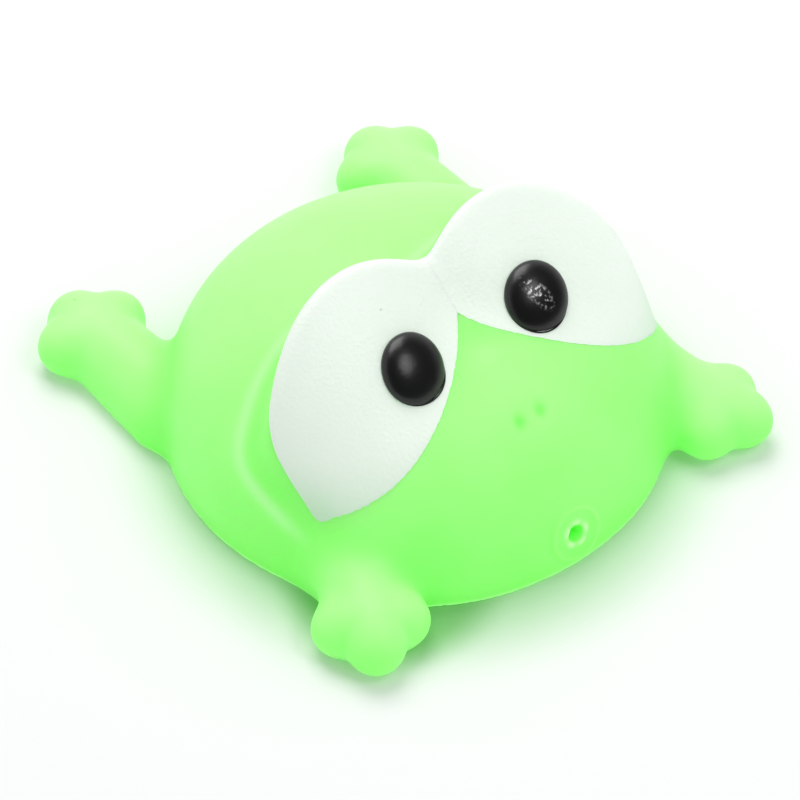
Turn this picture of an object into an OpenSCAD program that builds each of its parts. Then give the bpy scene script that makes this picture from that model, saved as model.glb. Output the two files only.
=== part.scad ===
// Squeaky bath frog: a hollow soft-vinyl moulding with painted eyes, a squirt
// hole under the nose and a push-in squeaker in the belly.
// The frog lies on its belly and faces -Y. All sizes are in millimetres.

/* [Body] */
// Radius of the round body seen from above
body_r = 39.8; // [36:0.1:46]
// Height of the back above the widest level of the body
dome_h = 29; // [25:0.5:34]
// How square the side profile of the dome is: 2 is an ellipse
dome_power = 2.5; // [2:0.1:3]
// Height of the widest level above the table
waist_z = 0.8; // [0.5:0.1:3]
// How far the body would curve under below its widest level
under_h = 11; // [8:0.5:16]
// Distance from the body's axis to the sloping face, square to the face
face_reach = 39.8; // [38:0.1:44]
// Angle that the face's outward normal tips up from level
face_tilt = 36; // [30:1:42]
// How softly the face runs into the dome
face_blend = 12; // [6:0.5:16]
// Wall of the hollow moulding
wall = 2.2; // [1.6:0.1:3]
// Rounding of the lower edge where the belly meets the side
belly_edge = 1.5; // [1:0.1:2.5]

/* [Eye mounds] */
// Middle of the flattened ellipsoid that forms one eye's front: sideways, back, up
eye_centre = [10.6, 15.6, 34.9];
// Half sizes of that ellipsoid: across, along the slope, thickness
eye_half = [23.6, 52.7, 13.2];
// Angle that the eye's front leans back from level
eye_lean = 30.9; // [25:0.5:36]
// Angle that the long way of the eye turns in towards the middle
eye_turn = 11.4; // [8:0.2:15]
// Middle of the round outline that cuts the mound off at the back: sideways, back
crest_centre = [14.4, -23.2];
// Radius of that outline
crest_r = 27; // [25:0.1:29]
// Height at which the outline has exactly that radius
crest_z = 20; // [16:0.5:24]
// Sideways growth of the outline for each unit of height below that level
crest_draft = 0.1; // [0.05:0.01:0.2]
// Rounding of the mound's rear crest
crest_blend = 2.6; // [1.5:0.1:4]
// Fillet in the front crease, where the eye meets the face
crease_fillet = 2.6; // [1:0.1:4]
// Fillet at the foot of the mound on the back
back_fillet = 4.8; // [3:0.1:6]
// Softness of the valley between the two eyes
valley_soft = 2.2; // [1:0.1:3]

/* [Pupils] */
// Radius of a pupil
pupil_r = 5.4; // [4.5:0.05:6.2]
// Angle that a pupil looks further forward than the eye's surface under it
pupil_tip = 2; // [0:0.5:4]
// Place of a pupil's middle: sideways, back
pupil_at = [12.2, -13.7];
// Height of a pupil's dome over its rim
pupil_h = 1.5; // [1.1:0.1:2]
// Height of the moulded rim over the eye
pupil_rim = 0.55; // [0.45:0.05:0.7]

/* [Legs and toes] */
// Radius of one round toe
toe_r = 4.4; // [4:0.1:4.8]
// Height of the toes' middles above the table
toe_z = 4.2; // [3.9:0.1:4.4]
// Softness of the notch between two toes
toe_blend = 1; // [0.6:0.1:1.6]
// Fillet where a front leg leaves the body
front_fillet = 5; // [3:0.2:6]
// Fillet where a rear leg leaves the body
rear_fillet = 3.6; // [2.4:0.2:5]
// Middle of a front foot: sideways, back
front_foot = [34.95, -31.65];
// Angle that a front foot points outwards from straight ahead
front_turn = 28.5; // [22:0.5:35]
// Sideways distance of a front foot's two side toes from its middle
front_spread = 4.73; // [4.2:0.1:5.2]
// Reach of a front foot's middle toe
front_toe = 4.63; // [4.2:0.1:5.2]
// Middle of a rear foot: sideways, back
rear_foot = [30.35, 44.55];
// Angle that a rear foot points outwards from straight back
rear_turn = 0; // [-5:0.5:8]
// Sideways distance of a rear foot's two side toes from its middle
rear_spread = 5.15; // [4.6:0.1:5.6]
// Reach of a rear foot's middle toe
rear_toe = 4.05; // [3.6:0.1:4.6]
// Middle of a front leg inside the body: sideways, back, up
shoulder_at = [28, -16.7, 6];
// Radius of a front leg at the shoulder
shoulder_r = 7.6; // [7:0.1:9]
// Middle of a rear leg inside the body: sideways, back, up
hip_at = [29.9, 24, 2.6];
// Radius of a rear leg at the hip
hip_r = 7.6; // [6.6:0.1:8]
// Radius of a front leg at the foot
front_ankle_r = 5.2; // [4.6:0.1:5.8]
// Radius of a rear leg at the foot
rear_ankle_r = 6.1; // [5:0.1:6.6]
// Height of a front leg's middle at the foot
front_ankle_z = 4.2; // [3.6:0.1:4.8]
// Height of a rear leg's middle at the foot
rear_ankle_z = 3.3; // [2.8:0.1:4.2]

/* [Mouth and nose] */
// Diameter of the squirt hole
squirt_d = 2.8; // [2:0.1:4]
// Height of the squirt hole above the table
squirt_z = 5.8; // [5.4:0.1:9]
// Angle that the squirt hole tips up from level
squirt_tilt = 16; // [8:1:24]
// Radius of the moulded ring round the squirt hole
lip_r = 4.3; // [3.6:0.1:5]
// Radius of the ring's bead
lip_bead = 0.45; // [0.3:0.05:0.7]
// Radius of the ball that presses a nostril dimple
nostril_r = 1.1; // [0.8:0.05:1.4]
// Height of that ball's middle over the face
nostril_lift = 0.35; // [0.1:0.05:0.6]
// Sideways distance of a nostril from the middle
nostril_x = 2.3; // [1.8:0.1:3]
// Distance of the nostrils in front of the body's axis
nostril_y = 26.9; // [24:0.1:30]

/* [Paint] */
// Thickness of a paint layer
paint_t = 0.25; // [0.15:0.05:0.4]
// Gap left between a paint layer and what it covers
paint_gap = 0.12; // [0.1:0.01:0.16]
// How far the white stops short of the middle
paint_margin = 0.3; // [0.2:0.05:0.6]
// Middle of the oval that outlines the white in front, seen from above: sideways, back
white_centre = [14.5, 1.5];
// Half sizes of that oval: its short way and its long way
white_half = [18.3, 27.9];
// Angle that the oval is turned by
white_turn = 34.4; // [30:0.2:38]
// How far the white reaches over the crest
crest_over = 0.6; // [0.2:0.1:1]
// How far the white reaches past the mound's outer rim
rim_over = 0.9; // [0.4:0.1:1.6]

/* [Squeaker] */
// Outer radius of the squeaker's cup
cup_r = 7.6; // [7:0.1:8.4]
// Height of the cup above its flange
cup_h = 8.4; // [7.5:0.1:10]
// Wall of the cup and of its floor
cup_t = 1.1; // [0.9:0.1:1.4]
// Width of the flange outside the cup
flange_w = 1.9; // [1.5:0.1:2.5]
// Thickness of the flange
flange_t = 1.1; // [0.8:0.1:1.3]
// Depth that the flange lies in from the table
flange_in = 0.3; // [0.2:0.1:0.5]
// Height of the collar that grips the cup, above the flange
collar_h = 4; // [3.4:0.1:5]
// Wall of that collar
collar_t = 2.2; // [2:0.1:2.8]
// Depth of the snap groove round the cup, and of the bead that fills it
snap_depth = 0.5; // [0.3:0.05:0.6]
// Height of the snap groove
snap_h = 1.4; // [1:0.1:1.8]
// Clearance between the cup and the moulding, and of inner parts
fit_gap = 0.1; // [0.05:0.01:0.2]
// Thickness of the grille plate in the cup's mouth
grille_t = 1; // [0.8:0.1:1.2]
// Width of the ledge that the grille rests on
grille_ledge = 0.6; // [0.4:0.1:0.9]
// Diameter of one grille hole
grille_hole_d = 1.5; // [1:0.1:1.8]
// Number of grille holes round the middle one
grille_holes = 6; // [4:1:8]
// Radius of the circle that they lie on
grille_ring_r = 3.5; // [2.8:0.1:4.4]
// Radius of the reed holder
holder_r = 2.3; // [2:0.1:2.6]
// Wall of the tube that the reed holder stands in
seat_t = 0.9; // [0.7:0.1:1.1]
// Length of that tube below the cup's floor
seat_h = 2; // [1.6:0.1:2.6]
// Length of the reed holder
holder_len = 7; // [6.6:0.1:7.2]
// Height of the reed holder's end above the cup
holder_out = 0.3; // [0.1:0.1:0.6]
// Distance of the reed holder's flat side from its axis
holder_flat = 0.6; // [0.3:0.05:0.9]
// Width of the air channel in the reed holder
channel_w = 1.4; // [1:0.1:1.8]
// Depth of that channel below the flat side
channel_depth = 1.5; // [1:0.1:1.8]
// Solid end of the reed holder below its channel
holder_end = 0.8; // [0.6:0.1:1.2]
// Width of the reed
reed_w = 2.6; // [2.2:0.1:3]
// Thickness of the reed
reed_t = 0.15; // [0.1:0.01:0.2]
// Gap between the reed and the flat sides on each side of it
reed_gap = 0.08; // [0.07:0.01:0.12]
// Free length of the reed below its seat
reed_free = 3.4; // [3:0.1:3.5]
// Length of the reed's root inside its seat
reed_root = 0.8; // [0.6:0.1:0.9]

/* [Hidden] */

// Colours as the object shows them
vinyl_green = [0.62, 0.98, 0.50];
paint_white = [0.95, 0.97, 0.95];
paint_black = [0.07, 0.08, 0.07];
squeaker_white = [0.92, 0.92, 0.89];
reed_colour = [0.86, 0.80, 0.62];

// Overrun of every cut past the face that it opens
cut = 0.5;
// How near a searched point comes to the surface
near = 0.01;
// Length over which the slope of the surface is measured
probe = 0.05;

// The frog's middle lies over the origin: this is the shift of the body's axis
front_reach = -front_foot.y + front_toe * cos(front_turn) + toe_r;
rear_reach = rear_foot.y + rear_toe * cos(rear_turn) + toe_r;
body_y = (front_reach - rear_reach) / 2;

// Rays to the skin start inside the body, ahead of its axis
core_shares = [-0.2, 0.28];
core = [0, core_shares[0] * body_r, core_shares[1] * dome_h];

// Columns of one half of the skin: over the face, over the eye and over the back
face_columns = 12;
eye_columns = 10;
back_columns = 23;
half_columns = face_columns + eye_columns + back_columns;
skin_columns = 2 * half_columns;
// Rows of the skin from the belly's rim up to the last one under the top
skin_rows = 26;
// Rows lie closer together near the table
row_power = 1.2;
// Row that passes through the rear notch between the eyes
notch_row = 22;
// Fineness of the hollow inside
hollow_columns = 36;
hollow_rows = 12;
// Heading of the white's low outer tip, and the least width of the skin's eye columns beside it
tip_heading = -18.8;
tip_width = 7;

// Smooth joins and simple solids as distance fields: negative inside
function smooth_min(a, b, k) = let (h = max(k - abs(a - b), 0) / k) min(a, b) - h * h * k / 4;
function smooth_max(a, b, k) = -smooth_min(-a, -b, k);
function ease(t) = let (c = min(max(t, 0), 1)) c * c * (3 - 2 * c);
function between(a, b, share) = a + (b - a) * share;
function unit(v) = v / norm(v);
function mirrored(p) = [-p.x, p.y, p.z];
function ellipsoid(q, r) =
    let (a = norm([q.x / r.x, q.y / r.y, q.z / r.z]))
    let (b = norm([q.x / r.x / r.x, q.y / r.y / r.y, q.z / r.z / r.z]))
    a * (a - 1) / b;
function tapered_rod(p, a, b, r_a, r_b) =
    let (axis = b - a, t = min(max((p - a) * axis / (axis * axis), 0), 1))
    norm(p - a - t * axis) - between(r_a, r_b, t);

// The dome is a squared-off half ellipse spun round the body's axis
function dome(p) =
    let (up = p.z - waist_z, h = up > 0 ? dome_h : under_h)
    let (side = norm([p.x, p.y]) / body_r, rise = abs(up) / h)
    let (a = pow(pow(side, dome_power) + pow(rise, dome_power), 1 / dome_power))
    let (steep = norm([pow(side / a, dome_power - 1) / body_r, pow(rise / a, dome_power - 1) / h]))
    (a - 1) / steep;
function face(p) = -cos(face_tilt) * p.y + sin(face_tilt) * p.z - face_reach;
function torso(p) = smooth_max(dome(p), face(p), face_blend);

// Axes of an eye: across it, up its slope, and square to its front
eye_across = [cos(eye_turn), sin(eye_turn) * cos(eye_lean), sin(eye_turn) * sin(eye_lean)];
eye_along = [-sin(eye_turn), cos(eye_turn) * cos(eye_lean), cos(eye_turn) * sin(eye_lean)];
eye_out = [0, -sin(eye_lean), cos(eye_lean)];
function in_eye(p) = let (d = p - eye_centre) [d * eye_across, d * eye_along, d * eye_out];
function crest(p) = norm([p.x, p.y] - crest_centre) - crest_r - (crest_z - p.z) * crest_draft;
// Negative on the front of an eye, inside its rear crest and its outer rim
function eye_front(p) = max(crest(p), -in_eye(p).z - rim_over);
// Negative behind the white's front outline
function white_front(p) =
    let (d = [p.x, p.y] - white_centre, c = cos(white_turn), s = sin(white_turn))
    norm([(c * d.x + s * d.y) / white_half.x, (c * d.y - s * d.x) / white_half.y]) - 1;
function soft(p) = [norm([p.x, valley_soft]), p.y, p.z];
function eye_form(p) = ellipsoid(in_eye(p), eye_half);
function eye_mound(p) = let (q = soft(p)) smooth_max(eye_form(q), crest(q), crest_blend);

// A foot is described as [middle, direction, spread, toe reach]
function toe_height(at) = [at.x, at.y, toe_z];
front_leg = [
    toe_height(front_foot), [sin(front_turn), -cos(front_turn), 0], front_spread, front_toe
];
rear_leg = [
    toe_height(rear_foot), [sin(rear_turn), cos(rear_turn), 0], rear_spread, rear_toe
];
function foot_side(leg) = [-leg[1].y, leg[1].x, 0];
function toes(p, leg) =
    let (side = norm(p - leg[0] - foot_side(leg) * leg[2]) - toe_r)
    let (other = norm(p - leg[0] + foot_side(leg) * leg[2]) - toe_r)
    let (middle = norm(p - leg[0] - leg[1] * leg[3]) - toe_r)
    smooth_min(smooth_min(side, other, toe_blend), middle, toe_blend);
function leg_form(p, leg, root, root_r, ankle_z, ankle_r) =
    let (ankle = [leg[0].x, leg[0].y, ankle_z])
    smooth_min(tapered_rod(p, root, ankle, root_r, ankle_r), toes(p, leg), toe_blend);
function with_legs(d, p) = p.y < 0
    ? smooth_min(d, leg_form(p, front_leg, shoulder_at, shoulder_r, front_ankle_z, front_ankle_r), front_fillet)
    : smooth_min(d, leg_form(p, rear_leg, hip_at, hip_r, rear_ankle_z, rear_ankle_r), rear_fillet);

// The fillet round an eye is tight in the front crease and soft on the back
crease_y = crest_centre.y + crest_r * 0.24;
soft_y = crest_centre.y + crest_r * 0.76;
function eye_fillet(p) = between(crease_fillet, back_fillet, ease((p.y - crease_y) / (soft_y - crease_y)));
function on_table(d, p) = smooth_max(d, -p.z, belly_edge);
function head(p) = smooth_min(torso(p), eye_mound(p), eye_fillet(p));
function hollow_field(p) = on_table(head(p), p);
function skin_field(p) = on_table(with_legs(head(p), p), p);
// A level is a distance out from the skin. Below the skin, the form has no legs.
function field(p, level) =
    let (q = [abs(p.x), p.y, p.z])
    (level < 0 ? hollow_field(q) : skin_field(q)) - level;

// Distance along a ray, from a start inside, to where it leaves the form
function leave(o, d, level, r, tries = 40) =
    let (f = field(o + r * d, level))
    abs(f) < near || tries == 0 ? r :
    f > 0 ? halve(o, d, level, r - 2 * f, r, 12) :
    leave(o, d, level, r - 0.8 * f, tries - 1);
function halve(o, d, level, low, high, tries) =
    let (m = (low + high) / 2)
    tries == 0 ? m :
    field(o + m * d, level) > 0 ? halve(o, d, level, low, m, tries - 1) :
    halve(o, d, level, m, high, tries - 1);
function surface_point(o, d, level = 0, start = 0) = settle(o + d * leave(o, d, level, start));
// A point found within reach of the table lies on it
function settle(p) = p.z < 2 * near ? [p.x, p.y, 0] : p;

// Direction square to the head's surface at a point
function slope_at(p) = unit([for (s = [[1, 0, 0], [0, 1, 0], [0, 0, 1]]) head(p + probe * s) - head(p - probe * s)]);

// Where a ray leaves an eye's ellipsoid, before its rear crest is cut
function leave_eye(o, d, r, tries = 14) =
    tries == 0 ? o + r * d : leave_eye(o, d, r - eye_form(soft(o + r * d)), tries - 1);
function ray(a, e) = [cos(a) * cos(e), sin(a) * cos(e), sin(e)];
// Distance from the core to the body's side in a heading, and the elevations of a column's rows
function side_reach(a) = -core.y * sin(a) + sqrt(body_r * body_r - pow(core.y * cos(a), 2));
function low_angle(height, a, level) = -atan((core.z - height + level) / (side_reach(a) + level));
function row_elevation(j, rows, a, level) = j == 1
    ? low_angle(waist_z / 2, a, level)
    : between(low_angle(waist_z + belly_edge / 2, a, level), 90, row_share(j, rows));
function row_share(j, rows) =
    rows != skin_rows ? pow((j - 2) / (rows - 2), row_power) :
    j > notch_row ? between(notch_share, 1, (j - notch_row) / (rows - notch_row)) :
    notch_share * pow((j - 2) / (notch_row - 2), row_power);
// Elevation of that notch, and the share of the way up from the lowest row that it stands for
function notch_elevation(low = 45, high = 90, tries = 12) =
    let (m = (low + high) / 2)
    tries == 0 ? m :
    eye_front(soft(leave_eye(core, ray(90, m), dome_h))) > 0
        ? notch_elevation(m, high, tries - 1) : notch_elevation(low, m, tries - 1);
low_row = low_angle(waist_z + belly_edge / 2, 90, 0);
notch_share = (notch_elevation() - low_row) / (90 - low_row);

// The heading in row j where a test changes sign, searched from a negative end to a positive end
function row_ray(j, a) = ray(a, row_elevation(j, skin_rows, a, 0));
function crest_test(j, a) = eye_front(soft(leave_eye(core, row_ray(j, a), dome_h)));
function front_test(j, a) = white_front(surface_point(core, row_ray(j, a), -near, core.z / 2));
function crest_heading(j, low = tip_heading, high = 90, tries = 12) =
    let (m = (low + high) / 2)
    tries == 0 ? m :
    crest_test(j, m) > 0 ? crest_heading(j, low, m, tries - 1) : crest_heading(j, m, high, tries - 1);
function front_heading(j, low = tip_heading, high = -90, tries = 12) =
    let (m = (low + high) / 2)
    tries == 0 ? m :
    front_test(j, m) > 0 ? front_heading(j, low, m, tries - 1) : front_heading(j, m, high, tries - 1);

// Headings of the columns in one row: the white's front outline and the crest each lie on a column
crest_headings = [for (j = [0 : skin_rows - 1]) crest_heading(j)];
front_headings = [for (j = [0 : skin_rows - 1]) front_heading(j)];
over_angle = atan(crest_over / body_r);
function row_at(e) = 2 + len([for (j = [2 : skin_rows - 1]) if (row_elevation(j, skin_rows, 0, 0) < e) 1]);
// Row at the upper side of the front legs, below which the eye columns stay wide
leg_rows = row_at(7);
function eye_share(i) = 1 - pow(1 - i / eye_columns, 1.3);
function row_headings(j) =
    let (width = j > leg_rows ? 0 : tip_width)
    let (front_a = min(front_headings[j], tip_heading - width))
    let (crest_a = min(max(crest_headings[j] + over_angle, tip_heading + width), 78))
    concat(
        [for (i = [0 : face_columns - 1]) between(-90, front_a, i / face_columns)],
        [for (i = [0 : eye_columns - 1]) between(front_a, crest_a, eye_share(i))],
        [for (i = [0 : back_columns]) between(crest_a, 90, pow(i / back_columns, 1.25))]
    );
function rim_point(a, level) =
    let (inset = level - belly_edge)
    core + [cos(a), sin(a), 0] * (side_reach(a) + inset) - [0, 0, core.z + min(level, 0)];

// One half of the skin, as rows of points from the belly's flat rim to the last row under the top
function half_row(j, headings, rows, level) = [
    for (a = headings)
        j == 0 ? rim_point(a, level)
               : surface_point(core, ray(a, row_elevation(j, rows, a, level)), level, core.z / 2)
];
function whole_row(half) = concat(half, [for (i = [len(half) - 2 : -1 : 1]) mirrored(half[i])]);
skin_headings = [for (j = [0 : skin_rows - 1]) row_headings(max(j, 2))];
even_headings = [for (i = [0 : hollow_columns / 2]) between(-90, 90, 2 * i / hollow_columns)];

// Cells of the grid that a leg replaces: [first column, last column, first row, last row]
function column_at(a) = len([for (h = skin_headings[2]) if (h < a) 1]);
front_window = [column_at(-48), column_at(-1), 0, leg_rows];
rear_window = [column_at(28), column_at(67), 0, row_at(3)];
function other_side(w) = [skin_columns - w[1], skin_columns - w[0], w[2], w[3]];
windows = [front_window, rear_window, other_side(front_window), other_side(rear_window)];
function in_window(i, j, w) = i >= w[0] && i < w[1] && j >= w[2] && j < w[3];
function in_any_window(i, j) = len([for (w = windows) if (in_window(i, j, w)) 1]) > 0;

// The rim of a window, as grid places in order round it, and as shares from -1 to 1
function rim(w) = concat(
    [for (i = [w[0] : w[1] - 1]) [i, w[2]]],
    [for (j = [w[2] : w[3] - 1]) [w[1], j]],
    [for (i = [w[1] : -1 : w[0] + 1]) [i, w[3]]],
    [for (j = [w[3] : -1 : w[2] + 1]) [w[0], j]]
);
function rim_share(g, w) = [2 * (g.x - w[0]) / (w[1] - w[0]) - 1, 2 * (g.y - w[2]) / (w[3] - w[2]) - 1];

// Rings along a leg: the first ones fan out of the window's rim, the others stand square to the foot
fan_rings = 4;
side_toe_shares = [-0.5, -0.2, 0.1, 0.4, 0.65, 0.82, 0.94];
middle_toe_shares = [0.15, 0.45, 0.72, 0.91];
front_root_share = -0.8;
rear_root_share = -0.9;
function leg_ring(leg, w, t) =
    let (middle = leg[0] + leg[1] * t)
    [for (g = rim(w))
        let (s = rim_share(g, w))
        let (aim = s.x * (leg[2] + toe_r) * foot_side(leg) + s.y * toe_r * [0, 0, 1])
        surface_point(middle, unit(aim), 0, toe_r / 4)];
function leg_rings(leg, w, root, root_t, grid) =
    let (first = leg_ring(leg, w, root_t), middle = leg[0] + leg[1] * root_t, places = rim(w))
    concat(
        [for (k = [1 : fan_rings])
            let (share = k / (fan_rings + 1), from = between(root, middle, share * share))
            [for (q = [0 : len(places) - 1])
                let (target = between(grid[places[q].y][places[q].x], first[q], share))
                surface_point(from, unit(target - from), 0, toe_r)]],
        [first],
        [for (s = side_toe_shares) leg_ring(leg, w, s * toe_r)],
        [for (s = middle_toe_shares) leg_ring(leg, w, leg[3] + s * toe_r)]
    );
function leg_tip(leg) = surface_point(leg[0] + leg[1] * leg[3], leg[1], 0, toe_r / 4);

function flat(lists) = [for (l = lists) each l];
function quad(a, b, c, d, flip) = flip ? [[a, c, b], [b, c, d]] : [[a, b, c], [b, d, c]];

// The whole skin as one closed surface
module skin() {
    grid = [for (j = [0 : skin_rows - 1]) whole_row(half_row(j, skin_headings[j], skin_rows, 0))];
    top = surface_point(core, [0, 0, 1]);
    front = leg_rings(front_leg, front_window, shoulder_at, front_root_share * toe_r, grid);
    rear = leg_rings(rear_leg, rear_window, hip_at, rear_root_share * toe_r, grid);
    legs = [
        [front_window, front, leg_tip(front_leg), false],
        [rear_window, rear, leg_tip(rear_leg), false],
        [front_window, [for (r = front) [for (p = r) mirrored(p)]], mirrored(leg_tip(front_leg)), true],
        [rear_window, [for (r = rear) [for (p = r) mirrored(p)]], mirrored(leg_tip(rear_leg)), true]
    ];
    function rim_index(w, q, flip) =
        let (g = rim(w)[q % len(rim(w))])
        g.y * skin_columns + (flip ? (skin_columns - g.x) % skin_columns : g.x);
    leg_size = [for (l = legs) len(l[1]) * len(l[1][0]) + 1];
    function leg_start(n) = skin_rows * skin_columns + 1 + (n == 0 ? 0 : leg_start_sum(n - 1));
    function leg_start_sum(n) = leg_size[n] + (n == 0 ? 0 : leg_start_sum(n - 1));
    points = concat(flat(grid), [top], flat([for (l = legs) concat(flat(l[1]), [l[2]])]));
    belly = [[for (i = [0 : skin_columns - 1]) i]];
    // The cells of the right half are split the other way, as the mirrored whites are
    cells = flat([
        for (j = [0 : skin_rows - 2], i = [0 : skin_columns - 1])
            if (!in_any_window(i, j))
                let (a = j * skin_columns, n = (i + 1) % skin_columns, b = a + skin_columns)
                i < skin_columns / 2
                    ? quad(a + i, b + i, a + n, b + n, false)
                    : quad(b + i, b + n, a + i, a + n, false)
    ]);
    crown = [
        for (i = [0 : skin_columns - 1])
            let (a = (skin_rows - 1) * skin_columns)
            [a + i, skin_rows * skin_columns, a + (i + 1) % skin_columns]
    ];
    tubes = flat([
        for (n = [0 : len(legs) - 1])
            let (l = legs[n], size = len(l[1][0]), start = leg_start(n), rings = len(l[1]))
            concat(
                flat([
                    for (q = [0 : size - 1])
                        quad(
                            rim_index(l[0], q, l[3]), rim_index(l[0], q + 1, l[3]),
                            start + q, start + (q + 1) % size, !l[3]
                        )
                ]),
                flat([
                    for (k = [0 : rings - 2], q = [0 : size - 1])
                        let (a = start + k * size, m = (q + 1) % size)
                        quad(a + q, a + m, a + size + q, a + size + m, !l[3])
                ]),
                [
                    for (q = [0 : size - 1])
                        let (a = start + (rings - 1) * size, b = start + rings * size, m = (q + 1) % size)
                        l[3] ? [a + q, a + m, b] : [a + m, a + q, b]
                ]
            )
    ]);
    polyhedron(points, concat(belly, cells, crown, tubes), convexity = 8);
}

// The hollow inside, one wall thickness in from the skin, without the legs
module hollow() {
    rows = hollow_rows;
    columns = hollow_columns;
    grid = [for (j = [0 : rows - 1]) whole_row(half_row(j, even_headings, rows, -wall))];
    top = surface_point(core, [0, 0, 1], -wall);
    belly = [[for (i = [0 : columns - 1]) i]];
    cells = flat([
        for (j = [0 : rows - 2], i = [0 : columns - 1])
            let (a = j * columns, n = (i + 1) % columns)
            quad(a + i, a + columns + i, a + n, a + columns + n, false)
    ]);
    crown = [
        for (i = [0 : columns - 1])
            let (a = (rows - 1) * columns)
            [a + i, rows * columns, a + (i + 1) % columns]
    ];
    polyhedron(concat(flat(grid), [top]), concat(belly, cells, crown), convexity = 8);
}

// Levels of the squeaker above the table
cup_z = flange_in + flange_t;
cup_top = flange_in + cup_h;
cup_in_r = cup_r - cup_t;
flange_r = cup_r + flange_w;
snap_z = cup_z + (collar_h - snap_h) / 2;
collar_top = cup_z + collar_h;
seat_bottom = cup_top - cup_t - seat_h;
holder_top = cup_top + holder_out;
// Segments of round parts
round_fn = 64;
small_fn = 32;

// A pupil's middle on the eye, and the way it faces
pupil_base = surface_point([pupil_at.x, pupil_at.y, core.z], [0, 0, 1], near);
pupil_out = slope_at(pupil_base);
pupil_lean = acos(pupil_out.z) + pupil_tip;
pupil_heading = atan2(pupil_out.y, pupil_out.x);
// Radius of the sphere that a pupil's dome is cut from, and its height over the eye at a radius
pupil_sphere_r = (pupil_r * pupil_r + pupil_h * pupil_h) / (2 * pupil_h);
function pupil_height(r) = pupil_rim + pupil_h - pupil_sphere_r + sqrt(pupil_sphere_r * pupil_sphere_r - r * r);
pupil_steps = 12;
module at_pupil() {
    translate(pupil_base) rotate([0, pupil_lean, pupil_heading]) children();
}
// The moulded bump under a pupil's paint
module pupil_bump() {
    arc = [for (i = [pupil_steps : -1 : 0]) let (r = pupil_r * i / pupil_steps) [r, pupil_height(r)]];
    at_pupil() rotate_extrude($fn = round_fn) polygon(concat([[0, -wall / 2], [pupil_r, -wall / 2]], arc));
}
module pupil_paint() {
    low = [
        for (i = [0 : pupil_steps])
            let (r = pupil_r * i / pupil_steps) [r, pupil_height(r) + paint_gap]
    ];
    high = [for (i = [pupil_steps : -1 : 0]) low[i] + [0, paint_t]];
    at_pupil() rotate_extrude($fn = round_fn) polygon(concat(low, high));
}

// The white of an eye: a thin layer over the skin, on the skin's own rows, from the tip at the
// outside up to the middle of the head, and from the front outline to the crest
white_hole_r = pupil_r + paint_t + paint_gap;
// Least height of the white's first band, as a share of a row
least_row_share = 0.4;
function tip_row(low, high, tries = 12) =
    let (m = (low + high) / 2)
    tries == 0 ? high :
    max(front_test(m, tip_heading), crest_test(m, tip_heading)) > 0
        ? tip_row(m, high, tries - 1) : tip_row(low, m, tries - 1);
first_row = tip_row(row_at(0), row_at(20));
function off_middle(p, level) = p.x > paint_margin ? p
    : surface_point([paint_margin, p.y, core.z], [0, 0, 1], level, near);
function white_point(j, a, level) =
    off_middle(surface_point(core, row_ray(j, a), level, core.z / 2), level);
module white_paint() {
    rows = [for (j = [2 : skin_rows - 1]) if (j > first_row + least_row_share) j];
    size = eye_columns + 1;
    function layer(level) = concat(
        [white_point(first_row, tip_heading, level)],
        [for (j = rows, i = [0 : eye_columns])
            let (from = front_headings[j], to = min(crest_headings[j] + over_angle, 90))
            white_point(j, between(from, to, eye_share(i)), level)],
        [white_point(skin_rows, 90, level)]
    );
    points = concat(layer(paint_gap), layer(paint_gap + paint_t));
    over = len(points) / 2;
    last = 1 + (len(rows) - 1) * size;
    sheet = concat(
        [for (i = [0 : size - 2]) [0, i + 1, i + 2]],
        flat([
            for (k = [0 : len(rows) - 2], i = [0 : size - 2])
                let (a = 1 + k * size + i)
                quad(a, a + size, a + 1, a + size + 1, false)
        ]),
        [for (i = [0 : size - 2]) [last + i, over - 1, last + i + 1]]
    );
    outline = concat(
        [0],
        [for (k = [0 : len(rows) - 1]) 1 + k * size],
        [over - 1],
        [for (k = [len(rows) - 1 : -1 : 0]) 1 + k * size + size - 1]
    );
    faces = concat(
        [for (f = sheet) f + [over, over, over]],
        [for (f = sheet) [f[0], f[2], f[1]]],
        flat([
            for (q = [0 : len(outline) - 1])
                let (a = outline[q], b = outline[(q + 1) % len(outline)])
                quad(a, b, a + over, b + over, false)
        ])
    );
    difference() {
        polyhedron(points, faces, convexity = 6);
        at_pupil() translate([0, 0, -2 * wall]) cylinder(r = white_hole_r, h = 4 * wall, $fn = round_fn);
    }
}

// The mouth: a low ring moulded round the squirt hole
mouth_base = surface_point([0, core.y, squirt_z], [0, -1, 0]);
module at_mouth() {
    translate(mouth_base) rotate([90 - squirt_tilt, 0, 0]) children();
}
module mouth_ring() {
    at_mouth() rotate_extrude($fn = round_fn) translate([lip_r, 0]) circle(r = lip_bead, $fn = small_fn);
}
module squirt_bore() {
    at_mouth() translate([0, 0, -3 * wall]) cylinder(d = squirt_d, h = 4 * wall, $fn = small_fn);
}
module nostril() {
    top = surface_point([nostril_x, -nostril_y, core.z], [0, 0, 1], near);
    translate(top + nostril_lift * [0, -sin(face_tilt), cos(face_tilt)]) sphere(r = nostril_r, $fn = small_fn);
}
// The socket in the belly that grips the squeaker
socket_r = cup_r + fit_gap;
bead_r = socket_r - snap_depth;
module socket() {
    rotate_extrude($fn = round_fn) polygon([
        [0, -cut],
        [flange_r + fit_gap, -cut],
        [flange_r + fit_gap, cup_z + fit_gap],
        [socket_r, cup_z + fit_gap],
        [socket_r, snap_z + fit_gap],
        [bead_r, snap_z + fit_gap + snap_depth / 2],
        [bead_r, snap_z + snap_h - fit_gap - snap_depth / 2],
        [socket_r, snap_z + snap_h - fit_gap],
        [socket_r, collar_top + cut],
        [0, collar_top + cut]
    ]);
}
module both_sides() {
    children();
    mirror([1, 0, 0]) children();
}

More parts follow.
